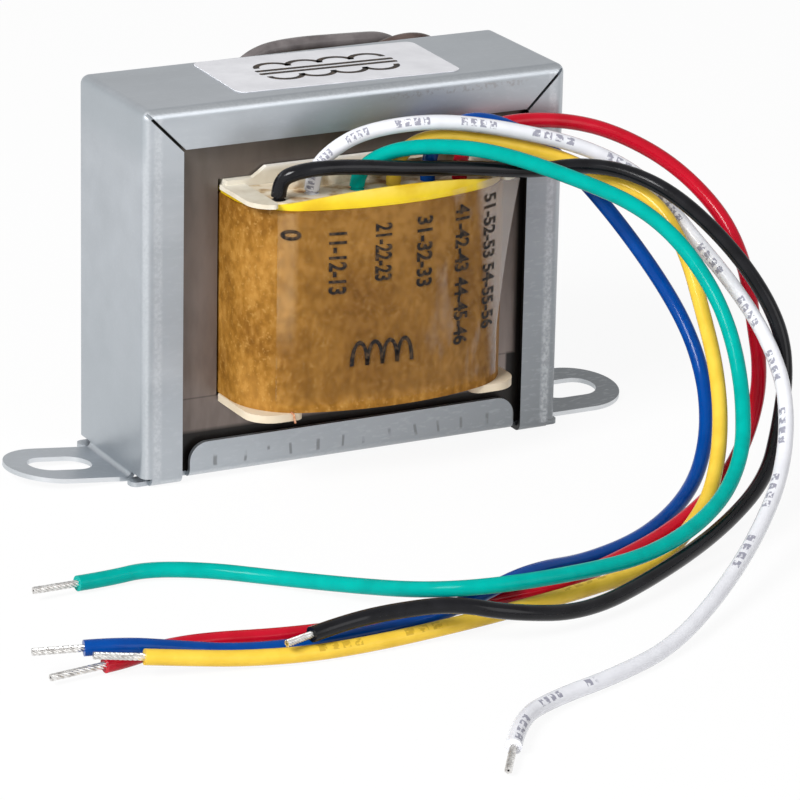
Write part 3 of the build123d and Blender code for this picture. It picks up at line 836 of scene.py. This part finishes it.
green_route = [
    (-3.5, -16.6, 38.2), (-3.5, -16.6, 40.2), (-1, -16.9, 42.2), (3, -18.3, 43.4),
    (9.5, -20.5, 43.2), (15, -23, 42), (22.6, -27.5, 39.1), (28.5, -31.5, 36.3),
    (32.3, -36, 32.3), (34.4, -41, 27), (34.7, -45.5, 22), (33.5, -50.5, 15.8),
    (30, -56.5, 10.2), (22.5, -62.5, 6.4), (11, -67.5, 4.4), (-1.5, -70, 4.8),
    (-13, -70, 5), (-19, -65, 3.8), (-23.5, -56, 2), (-30, -47, 1),
    (-35.5, -42, 1), (-42.5, -39, 1.2), (-47.5, -39.5, 1), (-52, -40, 1.2),
]
green_sleeve = pvc("pvc_green", (0.0, 0.305, 0.265), (0.0, 0.360, 0.312), gloss=0.06)
fit_lead("green", green_route, green_sleeve)

yellow_route = [
    (1.6, -16.6, 38.2), (1.6, -16.6, 40.4), (3.4, -16, 42.5), (7, -16.6, 44),
    (14.5, -17.1, 42.7), (23, -19, 40.4), (28.5, -22.5, 37.6), (33, -28, 35.8),
    (34.5, -33.5, 30.4), (34, -39, 24), (33, -44.5, 18.4), (31, -49.5, 13),
    (27.5, -54.5, 8.2), (23, -59, 5.2), (14, -64, 1.4), (2.5, -66.5, 1),
    (-7.5, -69, 1.2), (-16.5, -71, 1.4), (-27.5, -71.5, 1), (-36.5, -71.5, 1),
    (-44.5, -70, 1.2), (-51, -69, 2), (-56, -68, 2.6),
]
yellow_print = ((0.62, 0.72), (0.80, 0.90))
yellow_sleeve = pvc(
    "pvc_yellow", (0.70, 0.455, 0.042), (0.78, 0.525, 0.060),
    print_colour=(0.52, 0.33, 0.03), figures=124, stretches=yellow_print,
)
fit_lead("yellow", yellow_route, yellow_sleeve)

blue_route = [
    (6.5, -16.5, 38.2), (6.5, -16.5, 40.2), (8.5, -14.5, 42.4), (12, -14.2, 44.6),
    (16, -14.6, 44.6), (21, -15.4, 42.3), (26.2, -17.5, 38.4), (30.9, -22, 31.8),
    (35, -28, 23.8), (36.5, -33, 17.8), (36, -37.5, 12.4), (33, -43, 8),
    (27.5, -49, 4.2), (18, -55, 1.8), (7, -59, 1.4), (-3, -63.5, 3.4),
    (-11, -67, 3.2), (-18, -68, 1.6), (-26, -69, 1.2), (-35, -69, 1),
    (-44, -67.5, 1), (-51.5, -66, 2.2), (-57.5, -65.5, 3.4), (-62, -64.5, 3.4),
]
blue_sleeve = pvc("pvc_blue", (0.0, 0.042, 0.235), (0.0, 0.054, 0.280))
fit_lead("blue", blue_route, blue_sleeve)

red_route = [
    (10.5, -17.5, 38.2), (10.5, -17.5, 40.2), (12.4, -15.2, 41.6), (15.5, -12.9, 42.4),
    (20, -12.4, 43.3), (27.5, -13, 42.9), (34.3, -15, 41.1), (40.9, -19.4, 37.1),
    (44.8, -25.5, 31.5), (44.8, -31.5, 26.2), (42.5, -37.5, 21.2), (40, -44, 16),
    (35.5, -49, 10.6), (29, -53.5, 6), (19.5, -57.5, 2.8), (8.5, -61.5, 1.6),
    (-1, -64.5, 1), (-9.5, -64.8, 1), (-18, -65.5, 1), (-27.5, -66, 1),
    (-37, -65, 1), (-46, -63, 1.2), (-52, -63, 1.2), (-56.5, -64.4, 1), (-59.5, -64.8, 1),
]
red_sleeve = pvc("pvc_red", (0.42, 0.0025, 0.013), (0.50, 0.004, 0.020), gloss=0.2)
fit_lead("red", red_route, red_sleeve, end_share=1.2)


# Rear leads: the secondary's pair, grey and brown, in the same sleeve. They arch over the coil behind
# the frame and lie folded back on the surface behind it.
grey_route = [
    (-6, 16.5, 38.2), (-6, 16.5, 41), (-5, 17, 44.5), (-1.5, 17.5, 47.2),
    (4, 17.7, 47.8), (12, 17.5, 47.6), (18.5, 18, 47.2), (21.5, 19.5, 43.5),
    (22, 21.5, 37), (21.5, 24, 28), (20.5, 27, 18), (18.5, 30, 8.5), (14, 34, 2.2),
    (9, 40, 1), (3, 45.5, 1), (-3.5, 47.5, 1), (-9.5, 43.5, 1), (-11.5, 37, 1),
    (-9.5, 31, 1), (-4, 27.5, 1), (2.5, 28, 1),
]
grey_sleeve = pvc("pvc_grey", (0.105, 0.092, 0.092), (0.185, 0.165, 0.165))
fit_lead("grey", grey_route, grey_sleeve, side="rear_")

brown_route = [
    (10, 15.5, 38.2), (10, 15.5, 40.8), (11.5, 15, 44), (15, 14.5, 46.8),
    (19.5, 14.5, 47.8), (23.5, 15, 46.8), (25.5, 17, 43), (26.5, 19.5, 37),
    (27, 22.5, 28.5), (27.5, 25.5, 19), (28.5, 28.5, 9.5), (31, 32, 2.6), (35, 36.5, 1),
    (40, 40.5, 1), (43, 46, 1), (42, 52.5, 1), (36.5, 56.5, 1), (29.5, 56, 1),
    (24, 51.5, 1), (22, 45, 1), (23.5, 38.5, 1),
]
brown_sleeve = pvc("pvc_brown", (0.07, 0.048, 0.042), (0.125, 0.09, 0.08))
fit_lead("brown", brown_route, brown_sleeve, side="rear_")


# Studio: a pale floor, a white surround that is weaker overhead and to the right, a large soft lamp at the
# upper left and a weak one in front. The camera stands well back to the left, as for a product picture.
def seen_rays(layers):
    """One for the rays that show a background as it is: straight, in gloss or through film."""
    rays = layers.nodes.new("ShaderNodeLightPath")
    return layers.calc(
        "MAXIMUM",
        rays.outputs["Is Camera Ray"],
        rays.outputs["Is Glossy Ray"],
        rays.outputs["Is Transmission Ray"],
    )


floor_size = 6
floor_drop = 0.0001
floor_glow = 0.92
bpy.ops.object.select_all(action="DESELECT")
bpy.ops.mesh.primitive_plane_add(size=floor_size, location=(0, 0, -floor_drop))
floor = bpy.context.object
floor.name = "floor"
pale = Finish("pale_floor", roughness=0.9, gloss=0.1)
pale.colour((0.9, 0.9, 0.9))
white = pale.nodes.new("ShaderNodeEmission")
white.inputs["Strength"].default_value = 1
bright = pale.nodes.new("ShaderNodeMixShader")
pale.give(bright.inputs["Fac"], pale.calc("MULTIPLY", seen_rays(pale), floor_glow))
pale.give(bright.inputs[1], pale.shader.outputs["BSDF"])
pale.give(bright.inputs[2], white.outputs["Emission"])
pale.give(pale.nodes["Material Output"].inputs["Surface"], bright.outputs["Shader"])
coat(floor, pale)

world = bpy.data.worlds.new("studio")
bpy.context.scene.world = world
world.use_nodes = True
surround = Layers(world.node_tree)
background = surround.nodes["Background"]
lit_level = 0.5
seen_level = 1.0
surround.give(background.inputs["Strength"], surround.fade(seen_rays(surround), 0, 1, lit_level, seen_level))
overhead = surround.fade(surround.axis("Z", "Generated"), 0.1, 0.9, 1.0, 0.62)
sideways = surround.fade(surround.axis("X", "Generated"), -0.6, 0.8, 1.0, 0.75)
weaker = surround.calc("MULTIPLY", overhead, sideways)
to_camera = surround.nodes.new("ShaderNodeLightPath").outputs["Is Camera Ray"]
surround.give(background.inputs["Color"], surround.calc("MAXIMUM", weaker, to_camera))

lamp_aim = Vector((0.0, -0.03, 0.02))
for name, place, energy, size in (
    ("key_lamp", (-0.75, -0.40, 0.65), 12.5, 0.4),
    ("front_lamp", (0.35, -0.9, 0.35), 2.0, 0.6),
):
    bpy.ops.object.light_add(type="AREA", location=place)
    lamp = bpy.context.object
    lamp.name = name
    lamp.data.energy = energy
    lamp.data.size = size
    lamp.rotation_euler = (lamp_aim - Vector(place)).to_track_quat("-Z", "Y").to_euler()

aimed_at = Vector((0.0119, 0, 0.00305))
distance = 0.65
yaw = math.radians(27.7)
pitch = math.radians(18.7)
roll = math.radians(1.17)
back = Vector((-math.sin(yaw) * math.cos(pitch), -math.cos(yaw) * math.cos(pitch), math.sin(pitch)))
right = Vector((0, 0, 1)).cross(back).normalized()
up = back.cross(right)
level_right = math.cos(roll) * right + math.sin(roll) * up
level_up = math.cos(roll) * up - math.sin(roll) * right
bpy.ops.object.camera_add()
camera = bpy.context.object
camera.data.lens = 222.5
camera.data.sensor_width = 36
camera.data.clip_start = 0.01
camera.data.clip_end = 20
stand = Matrix((level_right, level_up, back)).transposed().to_4x4()
stand.translation = aimed_at + back * distance
camera.matrix_world = stand
bpy.context.scene.camera = camera
bpy.context.scene.view_settings.view_transform = "Standard"
